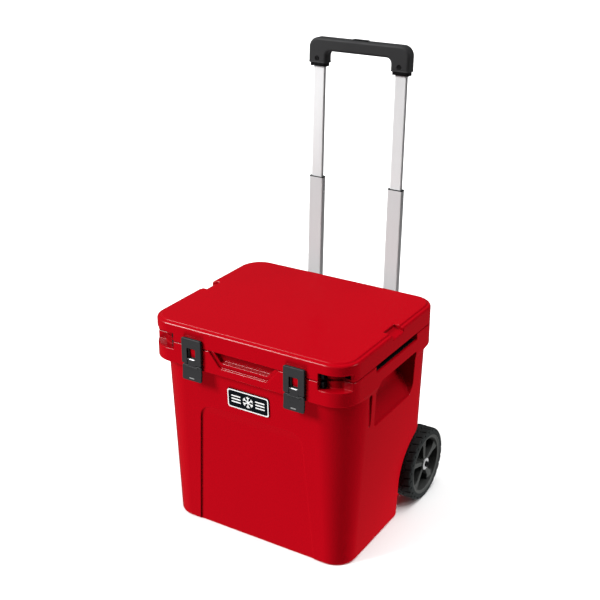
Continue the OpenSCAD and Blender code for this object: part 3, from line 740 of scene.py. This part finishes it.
def tyre_field(x, y, z):
    """Local to the wheel's middle, x along the axle: a round tyre with two staggered rows of blocks."""
    rho = np.hypot(y, z)
    turn = np.arctan2(z, y)
    outer = rounded(rho - 70.0, x, TYRE_R - 70.0, TYRE_HW, 7.0)
    shape = both(outer, BEAD_R - rho, 0.5)
    for row, shift in ((-1, 0.0), (1, 0.5)):
        cut = np.abs(repeated(turn, shift) * TYRE_R + 0.25 * x * row) - TREAD_HW
        cut = both(cut, TREAD_FLOOR - rho, 0.8)
        cut = both(cut, 5.5 - x * row, 0.8)
        shape = without(shape, cut, 0.8)
    wander = both(np.abs(x - 3.0 * np.sin(turn * BLOCKS)) - 1.3, 82.8 - rho, 0.8)
    shape = without(shape, wander, 0.8)
    notch = both(np.abs(repeated(turn, 0.25) * 80.0) - 2.2, 20.6 - np.abs(x), 0.8)
    notch = both(notch, 77.5 - rho, 1.5)
    return without(shape, notch, 1.0)


def rim_field(x, y, z):
    """Local to the wheel's middle, x outwards: ring, hub and tapered spokes."""
    rho = np.hypot(y, z)
    ring = rounded(rho - 66.5, x, 4.0, 21.0, 2.0)
    lip = both(np.hypot(rho - 69.0, x - 20.5) - 2.4, between(rho, 0, BEAD_R))
    hub = both(rho - HUB_R, between(x, -23.0, 18.8), 1.5)
    shape = either(either(ring, lip, 1.0), hub, 1.0)
    for spoke in range(SPOKES):
        a = math.radians(90 + 360 / SPOKES * spoke)
        along = y * math.cos(a) + z * math.sin(a)
        across = np.abs(-y * math.sin(a) + z * math.cos(a))
        half = 4.6 + 0.055 * (along - 14.0) + 6.0 * smooth((along - 44.0) / 20.0)
        bar = both(across - half, between(along, 0.0, 64.0))
        crown = x - 17.5 + 0.35 * across
        bar = both(bar, np.maximum(crown, 1.0 - x), 1.0)
        shape = either(shape, bar, 3.0)
    return without(shape, rho - HUB_BORE, 0.6)


def shade_web_field(x, y, z):
    """Local to the wheel's middle: a black web behind the spokes, painted shade seen through the windows between
    them.
    """
    rho = np.hypot(y, z)
    ring = both(rho - 64.5, 14.0 - rho)
    return both(ring, between(x, -14.0, -10.0), 0.8)


def make_wheels():
    for name, side in SIDES.items():
        body = f"wheel_{name}"
        place = Matrix.Translation(middle_of(f"tyre_{name}")) @ Matrix.Diagonal((side, 1, 1, 1))
        box = (-23, -85, -85), (23, 85, 85)
        tyre = sculpt(f"tyre_{name}_cover", tyre_field, *box, 1.25, place=place)
        piece(tyre, "tyre", body, f"tyre_{name}")
        box = (-23, -71, -71), (23, 71, 71)
        rim = sculpt(f"rim_{name}_cover", rim_field, *box, 1.25, place=place)
        piece(rim, "rim_plastic", body, f"wheel_rim_{name}")
        box = (-16, -67, -67), (-8, 67, 67)
        # Painted shade: a black web fills the back of the windows between the spokes, where the wheel is only
        # dark.
        shade_web = sculpt(f"wheel_shade_web_{name}", shade_web_field, *box, 1.25, place=place)
        piece(shade_web, "black_plastic", body)


# ---------- grip ----------

SLIDE = Vector(joints["upper_slide"]["axis"])
LEAN = Matrix.Rotation(-math.atan2(SLIDE.y, SLIDE.z), 4, "X")
TUBE_X = 100.0
LEG_X = 100.5
STEP_Z, SLEEVE_Z = -23.2, -23.4


def grip_field(x, y, z):
    """Local to the grip's middle: a bar with two sleeves that step in near their ends."""
    x = np.abs(x)
    arch = both(rounded(x, z + 20.0, 122.0, 51.5, 22.0), -31.5 - z, 1.0)
    opening = rounded(x, z + 31.5, 79.0, 35.0, 12.0)
    outline = without(arch, opening, 1.0)
    step = 2.2 * smooth((STEP_Z - z) / 1.0)
    leg = rounded(x - LEG_X, z + 27.0, 21.5, 10.0, 1.5)
    outline = both(outline, either(STEP_Z - z, leg + step, 0.5))
    shape = both(outline, np.abs(y) - 14.5 + step, 6.0)
    bead = both(rounded(x - LEG_X, y, 22.3, 15.0, 6.5), np.abs(z + 22.0) - 1.0, 0.8)
    shape = either(shape, bead, 0.5)
    screw = both(np.hypot(x - TUBE_X, z + 13.5) - 5.2, y + 12.0, 0.4)
    shape = without(shape, screw, 0.8)
    button = both(rounded(x, y, 19.6, 6.6, 4.2), 20.0 - z)
    shape = without(shape, button, 0.8)
    tube = both(rounded(x - TUBE_X, y, 14.2, 5.0, 3.4), z)
    return without(shape, tube, 0.5)


def grip_cover_field(x, y, z):
    """The grip down to its sleeves."""
    return both(grip_field(x, y, z), SLEEVE_Z - z)


def grip_sleeves_field(x, y, z):
    """The sleeves alone, which reach a little way into the grip."""
    return both(grip_field(x, y, z), z - SLEEVE_Z - 0.3)


def make_grip():
    place = Matrix.Translation(middle_of("grip_body", "grip_cap")) @ LEAN
    box = (-123, -16, -24), (123, 16, 32)
    grip = sculpt("grip_cover", grip_cover_field, *box, 1.0, mirror=True, place=place)
    piece(grip, "grip_plastic", "upper_stage", "grip_body", "grip_cap")
    box = (-123, -16, -32), (123, 16, -22)
    sleeves = sculpt("grip_sleeves", grip_sleeves_field, *box, 0.8, mirror=True, place=place)
    piece(sleeves, "black_plastic", "upper_stage")


# ---------- carried-over CAD nodes ----------


def finish_cad_nodes():
    """CAD nodes that stay visible get their material, slightly rounded edges and flat faces."""
    for name, obj in frame["nodes"].items():
        if obj.hide_render:
            continue
        obj.data.materials.clear()
        obj.data.materials.append(special_looks.get(name, materials[slot_of[name]]))
        if "tube" in name:
            obj.visible_glossy = False
        weld = obj.modifiers.new("weld", "WELD")
        weld.merge_threshold = 0.01 * MM
        bevel = obj.modifiers.new("edges", "BEVEL")
        bevel.width = 0.4 * MM
        bevel.segments = 2
        bevel.limit_method = "ANGLE"
        bevel.angle_limit = math.radians(35)
        flat = obj.modifiers.new("flat_faces", "WEIGHTED_NORMAL")
        flat.weight = 100
        flat.keep_sharp = True
        obj.data.polygons.foreach_set("use_smooth", [True] * len(obj.data.polygons))


# ---------- stage ----------

FLOOR_HALF = 30.0
PALE = (0.52, 0.52, 0.52)
# Brightness of the surroundings below and above the horizon, at their darkest and brightest
WORLD_LOW = (0.07, 0.12)
WORLD_HIGH = (0.04, 0.20)


def make_floor():
    """A pale floor that light passes by on its way back up, so it doesn't fill in the shaded sides."""
    mesh = bpy.data.meshes.new("floor")
    corners = [(x * FLOOR_HALF, y * FLOOR_HALF, 0) for x, y in ((-1, -1), (1, -1), (1, 1), (-1, 1))]
    mesh.from_pydata(corners, [], [(0, 1, 2, 3)])
    floor = bpy.data.objects.new("floor", mesh)
    bpy.context.scene.collection.objects.link(floor)
    mesh.materials.append(base_material("pale_floor", PALE, 0.9, specular=0.0)[0])
    floor.visible_diffuse = False
    floor.visible_glossy = False
    floor.visible_shadow = False


def direction(azimuth, elevation):
    """Unit vector towards a place round the stage; azimuth 0 is in front, 90 to the right."""
    a, e = math.radians(azimuth), math.radians(elevation)
    return Vector((math.sin(a) * math.cos(e), -math.cos(a) * math.cos(e), math.sin(e)))


def add_light(name, data, shine):
    """A light's object; without shine it can't be seen in glossy surfaces."""
    light = bpy.data.objects.new(name, data)
    light.visible_glossy = shine
    data.cycles.use_multiple_importance_sampling = False
    bpy.context.scene.collection.objects.link(light)
    return light


def sun(name, azimuth, elevation, strength, angle, shine=True):
    """A soft light from far away; strength 1 lights a white surface that faces it to white."""
    data = bpy.data.lights.new(name, "SUN")
    data.energy = strength * math.pi
    data.angle = math.radians(angle)
    light = add_light(name, data, shine)
    light.rotation_euler = direction(azimuth, elevation).to_track_quat("Z", "Y").to_euler()


def lamp(name, location, strength, size):
    """A soft round lamp that adds no shine; strength 1 whitens a white surface one metre away."""
    data = bpy.data.lights.new(name, "POINT")
    data.energy = strength * 4 * math.pi ** 2
    data.shadow_soft_size = size
    add_light(name, data, False).location = location


def make_world():
    """Dim white surroundings, brightest in front on the left."""
    world = bpy.data.worlds.new("studio")
    world.use_nodes = True
    nodes, links = world.node_tree.nodes, world.node_tree.links
    where = nodes.new("ShaderNodeTexCoord")
    split = nodes.new("ShaderNodeSeparateXYZ")
    links.new(where.outputs["Generated"], split.inputs["Vector"])
    facing = nodes.new("ShaderNodeVectorMath")
    facing.operation = "DOT_PRODUCT"
    facing.inputs[1].default_value = direction(-31, 0)
    links.new(where.outputs["Generated"], facing.inputs[0])
    low = map_range(nodes, links, facing.outputs["Value"], -0.2, 0.9, *WORLD_LOW)
    high = map_range(nodes, links, facing.outputs["Value"], -1.0, 1.0, *WORLD_HIGH)
    level = map_range(nodes, links, split.outputs["Z"], -0.1, 0.15, 0.0, 1.0)
    links.new(low.outputs["Result"], level.inputs["To Min"])
    links.new(high.outputs["Result"], level.inputs["To Max"])
    background = nodes["Background"]
    background.inputs["Color"].default_value = (1, 1, 1, 1)
    links.new(level.outputs["Result"], background.inputs["Strength"])
    bpy.context.scene.world = world


def make_stage():
    """The floor, the surroundings and the lights; the lights from below pass through the floor."""
    make_floor()
    make_world()
    sun("key", -43, 32, 2.28, 20)
    sun("side_edge", 112, 24, 0.30, 20)
    lamp("side_light", (1.0, 0.45, -0.45), 3.3, 0.2)
    sun("bounce", -25, -55, 2.30, 30, shine=False)
    sun("fill", -60, 55, 0.50, 60, shine=False)
    sun("overhead", 120, 72, 1.75, 50, shine=False)
    bpy.context.scene.view_settings.view_transform = "Standard"


CAMERA_AT = (1.1363, -1.8363, 1.4303)
CAMERA_AZIMUTH = math.radians(31.495)
CAMERA_PITCH = math.radians(23.146)


def make_camera():
    data = bpy.data.cameras.new("camera")
    data.sensor_width = 36
    data.lens = 66.27
    camera = bpy.data.objects.new("camera", data)
    camera.location = CAMERA_AT
    camera.rotation_euler = (math.pi / 2 - CAMERA_PITCH, 0, CAMERA_AZIMUTH)
    bpy.context.scene.collection.objects.link(camera)
    bpy.context.scene.camera = camera


make_chest()
make_latches()
make_badge()
make_wheels()
make_grip()
finish_cad_nodes()
make_stage()
make_camera()
